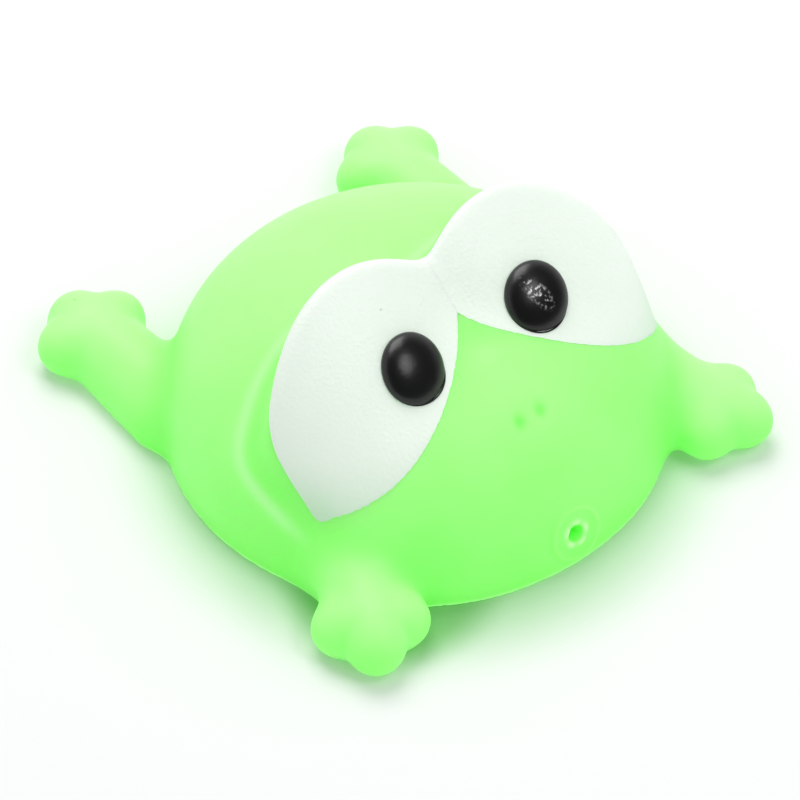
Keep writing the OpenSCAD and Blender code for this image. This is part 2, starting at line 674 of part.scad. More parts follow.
// Soft vinyl moulding: body, head, legs and toes in one hollow skin
module body_shell() {
    color(vinyl_green) translate([0, body_y, 0]) difference() {
        union() {
            skin();
            mouth_ring();
            both_sides() pupil_bump();
        }
        difference() {
            hollow();
            cylinder(r = socket_r + collar_t, h = collar_top, $fn = round_fn);
        }
        socket();
        squirt_bore();
        both_sides() nostril();
    }
}
module eye_white_left() {
    color(paint_white) translate([0, body_y, 0]) white_paint();
}
module eye_white_right() {
    color(paint_white) translate([0, body_y, 0]) mirror([1, 0, 0]) white_paint();
}
module pupil_left() {
    color(paint_black) translate([0, body_y, 0]) pupil_paint();
}
module pupil_right() {
    color(paint_black) translate([0, body_y, 0]) mirror([1, 0, 0]) pupil_paint();
}

// Hard plastic cup of the squeaker, with its flange, snap groove and reed seat
module squeaker_housing() {
    ledge_z = flange_in + grille_t + fit_gap;
    ledge_r = cup_in_r - grille_ledge;
    color(squeaker_white) translate([0, body_y, 0]) difference() {
        union() {
            rotate_extrude($fn = round_fn) polygon([
                [cup_in_r, flange_in],
                [flange_r, flange_in],
                [flange_r, cup_z],
                [cup_r, cup_z],
                [cup_r, snap_z],
                [cup_r - snap_depth, snap_z + snap_depth / 2],
                [cup_r - snap_depth, snap_z + snap_h - snap_depth / 2],
                [cup_r, snap_z + snap_h],
                [cup_r, cup_top],
                [0, cup_top],
                [0, cup_top - cup_t],
                [ledge_r, cup_top - cup_t],
                [ledge_r, ledge_z],
                [cup_in_r, ledge_z]
            ]);
            translate([0, 0, seat_bottom])
                cylinder(r = holder_r + fit_gap + seat_t, h = seat_h + cup_t / 2, $fn = round_fn);
        }
        difference() {
            translate([0, 0, seat_bottom - cut])
                cylinder(r = holder_r + fit_gap, h = seat_h + cup_t + 2 * cut, $fn = round_fn);
            translate([-holder_r - cut, holder_flat + fit_gap, seat_bottom - 2 * cut])
                cube([2 * (holder_r + cut), holder_r, seat_h + cup_t + 4 * cut]);
        }
        translate([-reed_w / 2 - fit_gap, 0, seat_bottom - cut])
            cube([reed_w + 2 * fit_gap, holder_flat + 2 * reed_gap + reed_t, reed_root + fit_gap + cut]);
    }
}
// Flat plate with holes that closes the cup towards the table
module squeaker_grille() {
    color(squeaker_white) translate([0, body_y, flange_in]) difference() {
        cylinder(r = cup_in_r - fit_gap, h = grille_t, $fn = round_fn);
        translate([0, 0, -cut]) cylinder(d = grille_hole_d, h = grille_t + 2 * cut, $fn = small_fn);
        for (i = [0 : grille_holes - 1])
            rotate(i * 360 / grille_holes) translate([grille_ring_r, 0, -cut])
                cylinder(d = grille_hole_d, h = grille_t + 2 * cut, $fn = small_fn);
    }
}
// Round plug with a flat side and an air channel, pressed into the cup's floor
module reed_holder() {
    color(squeaker_white) translate([0, body_y, holder_top - holder_len]) difference() {
        cylinder(r = holder_r, h = holder_len, $fn = round_fn);
        translate([-holder_r - cut, holder_flat, -cut])
            cube([2 * (holder_r + cut), holder_r, holder_len + 2 * cut]);
        translate([-channel_w / 2, holder_flat - channel_depth, holder_end])
            cube([channel_w, channel_depth + cut, holder_len]);
    }
}
// Thin tongue over the channel, held at its root in the seat
module reed() {
    color(reed_colour)
        translate([-reed_w / 2, body_y + holder_flat + reed_gap, seat_bottom - reed_free])
        cube([reed_w, reed_t, reed_free + reed_root]);
}

body_shell();
eye_white_left();
eye_white_right();
pupil_left();
pupil_right();
squeaker_housing();
squeaker_grille();
reed_holder();
reed();
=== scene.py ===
import math

import bmesh
import bpy
import numpy as np
from mathutils import Matrix, Vector


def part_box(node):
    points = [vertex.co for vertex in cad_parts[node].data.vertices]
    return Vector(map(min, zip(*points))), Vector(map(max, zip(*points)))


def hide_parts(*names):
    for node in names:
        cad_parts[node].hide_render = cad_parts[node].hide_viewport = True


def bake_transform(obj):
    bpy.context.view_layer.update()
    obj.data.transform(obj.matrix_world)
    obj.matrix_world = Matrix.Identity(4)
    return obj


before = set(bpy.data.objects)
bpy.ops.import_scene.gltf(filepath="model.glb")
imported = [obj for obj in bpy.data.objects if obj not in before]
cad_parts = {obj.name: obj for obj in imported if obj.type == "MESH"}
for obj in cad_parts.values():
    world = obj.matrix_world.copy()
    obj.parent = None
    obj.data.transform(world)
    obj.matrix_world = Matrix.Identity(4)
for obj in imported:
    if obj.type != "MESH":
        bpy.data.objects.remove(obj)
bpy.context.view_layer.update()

# Camera and studio.
# The frog stands on a white sheet and is seen from above, ahead and its right.
# The camera stands far off with a long lens, so that the toy hardly tapers.
look_at = Vector((0, -0.00614, 0.013))
turn = math.radians(-39.4)
height = math.radians(45.5)
camera_distance = 0.779
to_camera = Vector((math.sin(turn) * math.cos(height), -math.cos(turn) * math.cos(height), math.sin(height)))
to_right = Vector((math.cos(turn), math.sin(turn), 0))
to_top = to_camera.cross(to_right)

camera = bpy.data.objects.new("camera", bpy.data.cameras.new("camera"))
camera.data.lens = 225
camera.data.sensor_width = 36
camera.data.shift_x = -0.0194
camera.data.shift_y = -0.0487
camera.data.clip_end = 20
camera_axes = Matrix((to_right, to_top, to_camera)).transposed().to_4x4()
camera.matrix_world = Matrix.Translation(look_at + camera_distance * to_camera) @ camera_axes
bpy.context.collection.objects.link(camera)
bpy.context.scene.camera = camera


def softbox(name, direction, distance, size, brightness, colour=(1, 1, 1)):
    """A square lamp that faces the frog. Its brightness is that of its own surface."""
    lamp = bpy.data.lights.new(name, "AREA")
    lamp.size = size
    lamp.energy = brightness * math.pi * size * size
    lamp.color = colour
    box = bpy.data.objects.new(name, lamp)
    away = Vector(direction).normalized()
    facing = away.to_track_quat("Z", "Y").to_matrix().to_4x4()
    box.matrix_world = Matrix.Translation(look_at + distance * away) @ facing
    bpy.context.collection.objects.link(box)


softbox("overhead_softbox", (0.17, 0.40, 0.90), 0.9, 0.6, 4.2, (1, 0.995, 0.98))
softbox("front_softbox", (0.20, -0.50, 0.84), 0.8, 0.26, 4.9)

# The room is white, but dark on the side where the camera stands, so that the black paint has contrast.
# The camera, mirrors and glass all see this room, and diffuse light comes from an even pale one.
dark_side = Vector((0.05, -0.75, 0.66)).normalized()
world = bpy.data.worlds.new("white_room")
bpy.context.scene.world = world
world.use_nodes = True
wn, wl = world.node_tree.nodes, world.node_tree.links
wn.clear()
room = wn.new("ShaderNodeBackground")
room.inputs["Color"].default_value = (0.97, 0.985, 1, 1)
room.inputs["Strength"].default_value = 0.74
seen = wn.new("ShaderNodeBackground")
way = wn.new("ShaderNodeTexCoord")
toward = wn.new("ShaderNodeVectorMath")
toward.operation = "DOT_PRODUCT"
toward.inputs[1].default_value = dark_side
wl.new(way.outputs["Generated"], toward.inputs[0])
near_side = wn.new("ShaderNodeMapRange")
near_side.interpolation_type = "SMOOTHSTEP"
near_side.inputs["From Min"].default_value = 0.1
near_side.inputs["From Max"].default_value = 0.6
wl.new(toward.outputs["Value"], near_side.inputs["Value"])
walls = wn.new("ShaderNodeMix")
walls.data_type = "RGBA"
walls.inputs["A"].default_value = (0.985, 0.985, 0.985, 1)
walls.inputs["B"].default_value = (0.12, 0.13, 0.12, 1)
wl.new(near_side.outputs["Result"], walls.inputs["Factor"])
wl.new(walls.outputs["Result"], seen.inputs["Color"])
seen.inputs["Strength"].default_value = 1


def seen_share(nodes, links):
    """1 for rays that see the background: those of the camera, of mirrors and of glass."""
    kinds = nodes.new("ShaderNodeLightPath")
    share = kinds.outputs["Is Camera Ray"]
    for kind in ("Is Glossy Ray", "Is Transmission Ray"):
        either = nodes.new("ShaderNodeMath")
        either.operation = "MAXIMUM"
        links.new(share, either.inputs[0])
        links.new(kinds.outputs[kind], either.inputs[1])
        share = either.outputs["Value"]
    return share


pick = wn.new("ShaderNodeMixShader")
out = wn.new("ShaderNodeOutputWorld")
wl.new(seen_share(wn, wl), pick.inputs["Fac"])
wl.new(room.outputs["Background"], pick.inputs[1])
wl.new(seen.outputs["Background"], pick.inputs[2])
wl.new(pick.outputs["Shader"], out.inputs["Surface"])

bpy.context.scene.view_settings.view_transform = "Standard"

# Floor.
# A sheet of smooth white card, wide enough to fill the view, which keeps the frog's shadow. It looks
# a little darker than it lights the frog, so that the shadow isn't lost in white, and beside the frog
# it has a painted green shadow, with a smaller darker one at the front, for light through the vinyl.
below_belly = Matrix.Translation((0, 0, -0.00004))
sheet = bmesh.new()
bmesh.ops.create_grid(sheet, x_segments=1, y_segments=1, size=2.5, matrix=below_belly)
floor = bpy.data.objects.new("floor_card", bpy.data.meshes.new("floor_card"))
sheet.to_mesh(floor.data)
sheet.free()
bpy.context.collection.objects.link(floor)
card = bpy.data.materials.new("white_card")
card.use_nodes = True
cn, cl = card.node_tree.nodes, card.node_tree.links
paper = cn["Principled BSDF"]
paper.inputs["Roughness"].default_value = 0.9
paper.inputs["Specular IOR Level"].default_value = 0.1
card_place = cn.new("ShaderNodeTexCoord")
# Each painted shadow: its middle in x and y, the radii where it starts and is full, and its colour
shade = None
for x, y, from_r, to_r, green in ((-0.003, -0.012, 0.051, 0.034, (0.47, 0.66, 0.45, 1)),
                                  (-0.025, -0.031, 0.019, 0.011, (0.23, 0.48, 0.20, 1))):
    middle = cn.new("ShaderNodeMapping")
    middle.inputs["Location"].default_value = (-x, -y, 0)
    cl.new(card_place.outputs["Object"], middle.inputs["Vector"])
    reach = cn.new("ShaderNodeVectorMath")
    reach.operation = "LENGTH"
    cl.new(middle.outputs["Vector"], reach.inputs[0])
    fade = cn.new("ShaderNodeMapRange")
    fade.interpolation_type = "SMOOTHSTEP"
    for label, number in (("From Min", from_r), ("From Max", to_r), ("To Min", 0), ("To Max", 1)):
        fade.inputs[label].default_value = number
    cl.new(reach.outputs["Value"], fade.inputs["Value"])
    painted_shadow = cn.new("ShaderNodeMix")
    painted_shadow.data_type = "RGBA"
    painted_shadow.inputs["A"].default_value = (0.77, 0.77, 0.77, 1)
    painted_shadow.inputs["B"].default_value = green
    if shade:
        cl.new(shade, painted_shadow.inputs["A"])
    cl.new(fade.outputs["Result"], painted_shadow.inputs["Factor"])
    shade = painted_shadow.outputs["Result"]
tone = cn.new("ShaderNodeMix")
tone.data_type = "RGBA"
tone.inputs["A"].default_value = (0.9, 0.9, 0.9, 1)
cl.new(shade, tone.inputs["B"])
cl.new(seen_share(cn, cl), tone.inputs["Factor"])
cl.new(tone.outputs["Result"], paper.inputs["Base Color"])
floor.data.materials.append(card)

# Body.
# One moulding of soft green vinyl with the head, both eye mounds, four legs and twelve toes. It
# comes out of a closed mould without a seam, so its skin is drawn smooth over the same form that
# the mould has: domes, ellipsoids and rods that run softly into each other. The toy is hollow,
# but this mesh is filled: only the part's solids have the hollow that the squeaker stands in.
low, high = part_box("squeaker_housing")
axis_y = 500 * (low[1] + high[1])
body_r, dome_h, under_h, dome_power, waist_z = 39.8, 29, 11, 2.5, 0.8
face_tilt, face_reach, face_blend = math.radians(36), 39.8, 12
eye_centre = np.array([10.6, 15.6, 34.9])
eye_half = np.array([23.6, 52.7, 13.2])
eye_lean, eye_turn = math.radians(30.9), math.radians(11.4)
crest_centre, crest_r, crest_z, crest_draft = np.array([14.4, -23.2]), 27, 20, 0.1
crest_blend, crease_fillet, back_fillet, valley_soft = 2.6, 2.6, 4.8, 2.2
toe_r, toe_z, toe_blend, ankle_blend, belly_edge = 4.4, 4.2, 1.0, 2.8, 0.9
front_leg = dict(foot=(34.95, -31.65), turn=28.5, ahead=-1, spread=4.73, toe=4.63, root=(28, -16.7, 6),
                 root_r=7.6, ankle_r=5.8, ankle_z=4.5, fillet=5)
rear_leg = dict(foot=(30.35, 44.55), turn=0, ahead=1, spread=5.15, toe=3.93, root=(29.9, 24, 2.6),
                root_r=7.6, ankle_r=6.4, ankle_z=3.5, fillet=3.6)


def smooth_min(a, b, k):
    h = np.maximum(k - np.abs(a - b), 0) / k
    return np.minimum(a, b) - h * h * k / 4


def smooth_max(a, b, k):
    return -smooth_min(-a, -b, k)


def torso(p):
    """The squared-off dome of the body, cut by the soft slope of the face."""
    up = p[:, 2] - waist_z
    rise_by = np.where(up > 0, dome_h, under_h)
    side = np.maximum(np.hypot(p[:, 0], p[:, 1]) / body_r, 1e-6)
    rise = np.abs(up) / rise_by
    a = (side ** dome_power + rise ** dome_power) ** (1 / dome_power)
    steep = np.hypot((side / a) ** (dome_power - 1) / body_r, (rise / a) ** (dome_power - 1) / rise_by)
    face = -math.cos(face_tilt) * p[:, 1] + math.sin(face_tilt) * p[:, 2] - face_reach
    return smooth_max((a - 1) / steep, face, face_blend)


eye_axes = np.array([
    [math.cos(eye_turn), math.sin(eye_turn) * math.cos(eye_lean), math.sin(eye_turn) * math.sin(eye_lean)],
    [-math.sin(eye_turn), math.cos(eye_turn) * math.cos(eye_lean), math.cos(eye_turn) * math.sin(eye_lean)],
    [0, -math.sin(eye_lean), math.cos(eye_lean)]])


def in_eye(p):
    return (p - eye_centre) @ eye_axes.T


def eye_oval(p):
    q = in_eye(p)
    a = np.linalg.norm(q / eye_half, axis=1)
    return a * (a - 1) / np.linalg.norm(q / eye_half ** 2, axis=1)


def crest(p):
    return np.linalg.norm(p[:, :2] - crest_centre, axis=1) - crest_r - (crest_z - p[:, 2]) * crest_draft


def softened(p):
    q = p.copy()
    q[:, 0] = np.hypot(p[:, 0], valley_soft)
    return q


def head(p):
    """Torso and eye mounds, with a tight fillet in front of an eye and a soft one behind it."""
    q = softened(p)
    t = np.clip(((p[:, 1] - crest_centre[1]) / crest_r - 0.24) / 0.52, 0, 1)
    fillet = crease_fillet + (back_fillet - crease_fillet) * t * t * (3 - 2 * t)
    return smooth_min(torso(p), smooth_max(eye_oval(q), crest(q), crest_blend), fillet)


def toe_balls(p, leg):
    a = math.radians(leg["turn"])
    forward = np.array([math.sin(a), leg["ahead"] * math.cos(a), 0])
    across = np.array([-forward[1], forward[0], 0])
    foot = np.array([*leg["foot"], toe_z])
    return [np.linalg.norm(p - c, axis=1) - toe_r for c in (
        foot + across * leg["spread"], foot - across * leg["spread"], foot + forward * leg["toe"])]


def leg_form(p, leg):
    one, other, middle = toe_balls(p, leg)
    toes = smooth_min(smooth_min(one, other, toe_blend), middle, toe_blend)
    root = np.array(leg["root"])
    along = np.array([*leg["foot"], leg["ankle_z"]]) - root
    t = np.clip((p - root) @ along / (along @ along), 0, 1)
    rod_r = leg["root_r"] + t * (leg["ankle_r"] - leg["root_r"])
    rod = np.linalg.norm(p - root - t[:, None] * along, axis=1) - rod_r
    return smooth_min(rod, toes, ankle_blend)


def mirrored(p):
    q = p.copy()
    q[:, 0] = np.abs(p[:, 0])
    return q


def limbs(p):
    """The form with its legs, before the belly is made flat."""
    form = head(p)
    ahead = p[:, 1] < 0
    return np.where(ahead, smooth_min(form, leg_form(p, front_leg), front_leg["fillet"]),
                    smooth_min(form, leg_form(p, rear_leg), rear_leg["fillet"]))


def skin_form(p):
    q = mirrored(p)
    return smooth_max(limbs(q), -q[:, 2], belly_edge)


def settle(p, form, rounds=8):
    """Draws points along the slope of a form until they lie on it."""
    for _ in range(rounds):
        slope = slope_of(form, p)
        p = p - 0.95 * (form(p) / np.maximum((slope ** 2).sum(axis=1), 0.05))[:, None] * slope
    return p


def slope_of(form, p, step=0.02):
    return np.stack([(form(p + step * s) - form(p - step * s)) / (2 * step) for s in np.eye(3)], axis=1)


# Where the face is pressed in or raised: the squirt hole, here a blind pit, with its faint ring,
# and two nostrils
mouth = np.array([0, -38.29, 5.8])
mouth_tilt = math.radians(16)
mouth_out = np.array([0, -math.cos(mouth_tilt), math.sin(mouth_tilt)])
ring_r, ring_rise, ring_soft = 4.3, 0.36, 0.5
hole_r, hole_flare, hole_deep = 0.75, 0.75, 3.6
burr_r, burr_rise, burr_soft = 1.95, 0.22, 0.42
nostril = np.array([2.05, -28.1, 23.7])
nostril_out = np.array([0, -math.sin(face_tilt), math.cos(face_tilt)])
nostril_along = np.array([0, math.cos(face_tilt), math.sin(face_tilt)])
nostril_half, nostril_deep = (1.15, 1.5), 0.5
nostril = settle(nostril[None], skin_form)[0]


def face_offsets(p):
    """How far points lie from the mouth's axis, and the shares of its ragged rim and of a nostril's dent."""
    m, n = p - mouth, mirrored(p) - nostril
    off = np.linalg.norm(m - (m @ mouth_out)[:, None] * mouth_out, axis=1)
    off = np.where(np.abs(m @ mouth_out) < 3, off, 99)
    uneven = 1 + 0.7 * np.sin(5 * np.arctan2(m[:, 2], m[:, 0]) + 1)
    burr = np.exp(-((off - burr_r) / burr_soft) ** 2) * uneven
    near = (n @ (1, 0, 0) / nostril_half[0]) ** 2 + (n @ nostril_along / nostril_half[1]) ** 2
    return off, burr, np.exp(-near) * (np.abs(n @ nostril_out) < 3)


def pressed(p):
    """Points of the plain skin, moved in or out where the mouth and the nostrils are."""
    off, burr, near = face_offsets(p)
    t = np.clip((off - hole_r) / hole_flare, 0, 1)
    rise = ring_rise * np.exp(-((off - ring_r) / ring_soft) ** 2) - hole_deep * (1 - t * t * (3 - 2 * t))
    rise = rise + burr_rise * burr
    return p + rise[:, None] * mouth_out - (nostril_deep * near)[:, None] * nostril_out


def into_form(mesh):
    """Points of a mesh in millimetres from the frog's axis, and the way back."""
    co = np.empty(len(mesh.vertices) * 3)
    mesh.vertices.foreach_get("co", co)
    return co.reshape(-1, 3) * 1000 - np.array([0, axis_y, 0])


def out_of_form(mesh, p):
    co = (p + np.array([0, axis_y, 0])) / 1000
    mesh.vertices.foreach_set("co", np.ascontiguousarray(co).ravel())
    mesh.update()


# The rough skin: the moulding's own facets, with its two openings plugged, drawn over anew in even cells
rough = bmesh.new()
rough.from_mesh(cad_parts["body_shell"].data)
bmesh.ops.remove_doubles(rough, verts=rough.verts, dist=1e-7)
plug_at = Matrix.Translation((0, (mouth[1] + axis_y + 1) / 1000, mouth[2] / 1000)) @ Matrix.Rotation(
    math.pi / 2 - mouth_tilt, 4, "X")
bmesh.ops.create_cone(rough, cap_ends=True, segments=32, radius1=0.0018, radius2=0.0018, depth=0.0018,
                      matrix=plug_at)
bmesh.ops.create_cone(rough, cap_ends=True, segments=64, radius1=0.0108, radius2=0.0108, depth=0.0022,
                      matrix=Matrix.Translation((0, axis_y / 1000, 0.0011)))
skin = bpy.data.objects.new("vinyl_skin", bpy.data.meshes.new("vinyl_skin"))
rough.to_mesh(skin.data)
rough.free()
bpy.context.collection.objects.link(skin)
even = skin.modifiers.new("even_cells", "REMESH")
even.mode = "VOXEL"
even.voxel_size = 0.00068
bpy.context.view_layer.update()
fine = bpy.data.meshes.new_from_object(skin.evaluated_get(bpy.context.evaluated_depsgraph_get()))
skin.modifiers.clear()
skin.data = fine
out_of_form(fine, settle(into_form(fine), skin_form))

# Finer cells round the mouth and the nostrils
close = bmesh.new()
close.from_mesh(fine)
for mouth_reach, nostril_reach in ((6.4, 3.2), (5.9, 2.7), (2.4, 0)):
    spots = [(Vector(mouth), mouth_reach)]
    spots += [(Vector(nostril * (side, 1, 1)), nostril_reach) for side in (1, -1)]
    edges = set()
    for f in close.faces:
        c = f.calc_center_median() * 1000 - Vector((0, axis_y, 0))
        if any((c - s).length < r for s, r in spots):
            edges.update(f.edges)
    bmesh.ops.subdivide_edges(close, edges=list(edges), cuts=1, use_grid_fill=True)
bmesh.ops.triangulate(close, faces=[f for f in close.faces if len(f.verts) > 4])
close.to_mesh(fine)
close.free()
skin_points = settle(into_form(fine), skin_form)
out_of_form(fine, pressed(skin_points))
fine.polygons.foreach_set("use_smooth", [True] * len(fine.polygons))

# How deep each point lies in a fold, where the vinyl is close on both sides, for painted shade: a
# deeper green there; how much it faces up, for a painted paler top where light falls on it; and painted
# highlights, paler still: a line round each eye mound, the ragged edge of the hole, and the feet
q = mirrored(skin_points)
ahead = q[:, 1] < 0
leg_gap = np.where(ahead, np.abs(head(q) - leg_form(q, front_leg)), np.abs(head(q) - leg_form(q, rear_leg)))
off_eye = smooth_max(eye_oval(softened(q)), crest(softened(q)), crest_blend)
eye_gap = np.abs(torso(q) - off_eye)
mouth_off, mouth_burr, nostril_near = face_offsets(skin_points)
painted_fold_shade = np.maximum(0.5 * np.exp(-(leg_gap / 5.0) ** 2), 0.3 * np.exp(-(eye_gap / 4.0) ** 2))
painted_fold_shade = np.maximum(painted_fold_shade, np.maximum(0.75 * nostril_near, np.exp(-(mouth_off / 1.35) ** 4)))
beside_eye = np.clip((q[:, 1] + 19) / 8, 0, 1) * (q[:, 2] > 8)
painted_fold_shade += 0.3 * np.exp(-((off_eye - 1.5) / 1.6) ** 2) * beside_eye
fine.attributes.new("painted_fold_shade", "FLOAT", "POINT").data.foreach_set("value", painted_fold_shade)
facing = slope_of(skin_form, skin_points)[:, 2]
fine.attributes.new("top_light_share", "FLOAT", "POINT").data.foreach_set("value", facing)
eye_line_highlight = np.exp(-((off_eye - 3.9) / 0.9) ** 2) * beside_eye
to_front, to_rear = (np.hypot(*(q[:, :2] - leg["foot"]).T) for leg in (front_leg, rear_leg))
feet = np.minimum(to_front, to_rear)
painted_highlight = np.maximum(np.maximum(0.7 * eye_line_highlight, 0.9 * mouth_burr), 0.3 * np.exp(-(feet / 9) ** 2))
fine.attributes.new("painted_highlight", "FLOAT", "POINT").data.foreach_set("value", painted_highlight)

# The recess in the belly for the squeaker's flange
socket_r, socket_deep = 500 * (high[0] - low[0]) + 0.12, 1.5
cutter = bmesh.new()
bmesh.ops.create_cone(cutter, cap_ends=True, segments=128, radius1=socket_r / 1000, radius2=socket_r / 1000,
                      depth=2 * socket_deep / 1000, matrix=Matrix.Translation((0, axis_y / 1000, 0)))
socket = bpy.data.objects.new("socket", bpy.data.meshes.new("socket"))
cutter.to_mesh(socket.data)
cutter.free()
bpy.context.collection.objects.link(socket)
hollowed = skin.modifiers.new("socket", "BOOLEAN")
hollowed.operation = "DIFFERENCE"
hollowed.object = socket
bpy.context.view_layer.update()
skin_mesh = bpy.data.meshes.new_from_object(skin.evaluated_get(bpy.context.evaluated_depsgraph_get()))
skin.modifiers.clear()
skin.data = skin_mesh
bpy.data.objects.remove(socket)

# Effects that several finishes share: the fine grain of a moulded or sprayed skin, and its specks


def effect(name, inputs, outputs):
    tree = bpy.data.node_groups.new(name, "ShaderNodeTree")
    for label, kind, value in inputs:
        socket = tree.interface.new_socket(label, in_out="INPUT", socket_type=kind)
        socket.default_value = value
    for label, kind in outputs:
        tree.interface.new_socket(label, in_out="OUTPUT", socket_type=kind)
    return tree, tree.nodes.new("NodeGroupInput"), tree.nodes.new("NodeGroupOutput")


grain, given, result = effect(
    "grain_and_specks",
    [("Grain per metre", "NodeSocketFloat", 2600), ("Speck share", "NodeSocketFloat", 0.02)],
    [("Height", "NodeSocketFloat"), ("Cloud", "NodeSocketFloat"), ("Speck", "NodeSocketFloat")])
gn, gl = grain.nodes, grain.links
place = gn.new("ShaderNodeTexCoord")
fine_noise = gn.new("ShaderNodeTexNoise")
fine_noise.inputs["Detail"].default_value = 3
gl.new(place.outputs["Object"], fine_noise.inputs["Vector"])
gl.new(given.outputs["Grain per metre"], fine_noise.inputs["Scale"])
gl.new(fine_noise.outputs["Fac"], result.inputs["Height"])
cloud = gn.new("ShaderNodeTexNoise")
cloud.inputs["Scale"].default_value = 70
cloud.inputs["Detail"].default_value = 2
gl.new(place.outputs["Object"], cloud.inputs["Vector"])
gl.new(cloud.outputs["Fac"], result.inputs["Cloud"])
cells = gn.new("ShaderNodeTexVoronoi")
cells.inputs["Scale"].default_value = 420
gl.new(place.outputs["Object"], cells.inputs["Vector"])
small = gn.new("ShaderNodeMath")
small.operation = "LESS_THAN"
small.inputs[1].default_value = 0.1
gl.new(cells.outputs["Distance"], small.inputs[0])
chosen = gn.new("ShaderNodeSeparateColor")
gl.new(cells.outputs["Color"], chosen.inputs["Color"])
rare = gn.new("ShaderNodeMath")
rare.operation = "LESS_THAN"
gl.new(chosen.outputs["Red"], rare.inputs[0])
gl.new(given.outputs["Speck share"], rare.inputs[1])
speck = gn.new("ShaderNodeMath")
speck.operation = "MULTIPLY"
gl.new(small.outputs["Value"], speck.inputs[0])
gl.new(rare.outputs["Value"], speck.inputs[1])
gl.new(speck.outputs["Value"], result.inputs["Speck"])


def finish_of(name):
    """A new material, with its nodes, its links and its surface shader."""
    made = bpy.data.materials.new(name)
    made.use_nodes = True
    return made, made.node_tree.nodes, made.node_tree.links, made.node_tree.nodes["Principled BSDF"]


def mixed(nodes, links, share, first, second):
    """A colour that goes from the first to the second as a share goes from 0 to 1."""
    mix = nodes.new("ShaderNodeMix")
    mix.data_type = "RGBA"
    mix.clamp_factor = True
    links.new(share, mix.inputs["Factor"])
    for socket, colour in ((mix.inputs["A"], first), (mix.inputs["B"], second)):
        if isinstance(colour, tuple):
            socket.default_value = (*colour, 1)
        else:
            links.new(colour, socket)
    return mix.outputs["Result"]


def spread(nodes, links, value, low_end, high_end, low_to=0.0, high_to=1.0):
    """A value moved from one range to another, smoothly and kept inside it."""
    ramp = nodes.new("ShaderNodeMapRange")
    ramp.interpolation_type = "SMOOTHSTEP"
    ends = {"From Min": low_end, "From Max": high_end, "To Min": low_to, "To Max": high_to}
    for label, number in ends.items():
        ramp.inputs[label].default_value = number
    links.new(value, ramp.inputs["Value"])
    return ramp.outputs["Result"]


def grained(nodes, links, per_metre, share, surface, depth):
    """Places the grain on a surface as a bump of some depth in metres, and gives its node."""
    node = nodes.new("ShaderNodeGroup")
    node.node_tree = grain
    node.inputs["Grain per metre"].default_value = per_metre
    node.inputs["Speck share"].default_value = share
    bump = nodes.new("ShaderNodeBump")
    bump.inputs["Strength"].default_value = 0.6
    bump.inputs["Distance"].default_value = depth
    links.new(node.outputs["Height"], bump.inputs["Height"])
    links.new(bump.outputs["Normal"], surface.inputs["Normal"])
    return node


vinyl, vn, vl, vinyl_surface = finish_of("green_vinyl_skin")
vinyl_grain = grained(vn, vl, 1500, 0.02, vinyl_surface, 0.00002)
# Painted light: the vinyl is paler where it faces up, as though lit from above
top_light_share = vn.new("ShaderNodeAttribute")
top_light_share.attribute_name = "top_light_share"
painted_top_light = spread(vn, vl, top_light_share.outputs["Fac"], -0.1, 1.0)
colour = mixed(vn, vl, painted_top_light, (0.25, 0.97, 0.15), (0.375, 1.0, 0.25))
# Painted shade: a deeper green in the folds, the nostrils and the hole
fold_shade_attr = vn.new("ShaderNodeAttribute")
fold_shade_attr.attribute_name = "painted_fold_shade"
colour = mixed(vn, vl, spread(vn, vl, fold_shade_attr.outputs["Fac"], 0.05, 1.0, 0.0, 0.9), colour, (0.19, 0.96, 0.10))
# Painted highlights: paler round the eye mounds, on the hole's ragged rim and over the feet
highlight_attr = vn.new("ShaderNodeAttribute")
highlight_attr.attribute_name = "painted_highlight"
colour = mixed(vn, vl, highlight_attr.outputs["Fac"], colour, (0.50, 1.0, 0.40))
clouds = spread(vn, vl, vinyl_grain.outputs["Cloud"], 0.35, 0.7, 0.0, 0.14)
colour = mixed(vn, vl, clouds, colour, (0.50, 1.0, 0.38))
colour = mixed(vn, vl, vinyl_grain.outputs["Speck"], colour, (0.22, 0.75, 0.14))
vl.new(colour, vinyl_surface.inputs["Base Color"])
# Painted light: the whole skin glows a faint green, which lifts its shade, and its lowest millimetre glows
# brightly, for light through the thin bottom edge, and lights the floor by the belly
vinyl_place = vn.new("ShaderNodeTexCoord")
height_of = vn.new("ShaderNodeSeparateXYZ")
vl.new(vinyl_place.outputs["Object"], height_of.inputs["Vector"])
painted_belly_glow = spread(vn, vl, height_of.outputs["Z"], 0.0013, 0.0003)
vl.new(mixed(vn, vl, painted_belly_glow, (0.11, 1.0, 0.06), (1.5, 2.8, 1.3)), vinyl_surface.inputs["Emission Color"])
vinyl_surface.inputs["Emission Strength"].default_value = 0.115
vinyl_surface.inputs["Roughness"].default_value = 0.42
vinyl_surface.inputs["Specular IOR Level"].default_value = 0.3
vinyl_surface.inputs["Subsurface Weight"].default_value = 0.85
vinyl_surface.inputs["Subsurface Radius"].default_value = (0.45, 1.0, 0.3)
vinyl_surface.inputs["Subsurface Scale"].default_value = 0.0035
skin_mesh.materials.clear()
skin_mesh.materials.append(vinyl)
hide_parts("body_shell")
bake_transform(skin)

# Whites of the eyes.
# Satin white paint, sprayed through a mask over the front of each eye mound. Its edge follows
# the mound's crest behind and a soft curve on the face in front, a little ragged where the mask leaked.
white_centre = np.array([14.5, 1.5])
white_half = np.array([18.3, 27.9])
white_turn = math.radians(34.4)
core_y, tip_heading, crest_heading = -7.96, -17.0, 5.4
rim_low, rim_climb, rim_power = -0.9, 0.095, 1.3
white_under, white_over, white_low = -0.12, 0.04, 10


def ragged(p, size):
    """Small uneven steps along an edge, the same at every run."""
    x, y, z = p.T
    return size * (np.sin(x * 5.1 + 1.3 * np.sin(y * 3.7)) + 0.6 * np.sin(y * 9.3 + z * 7.7))


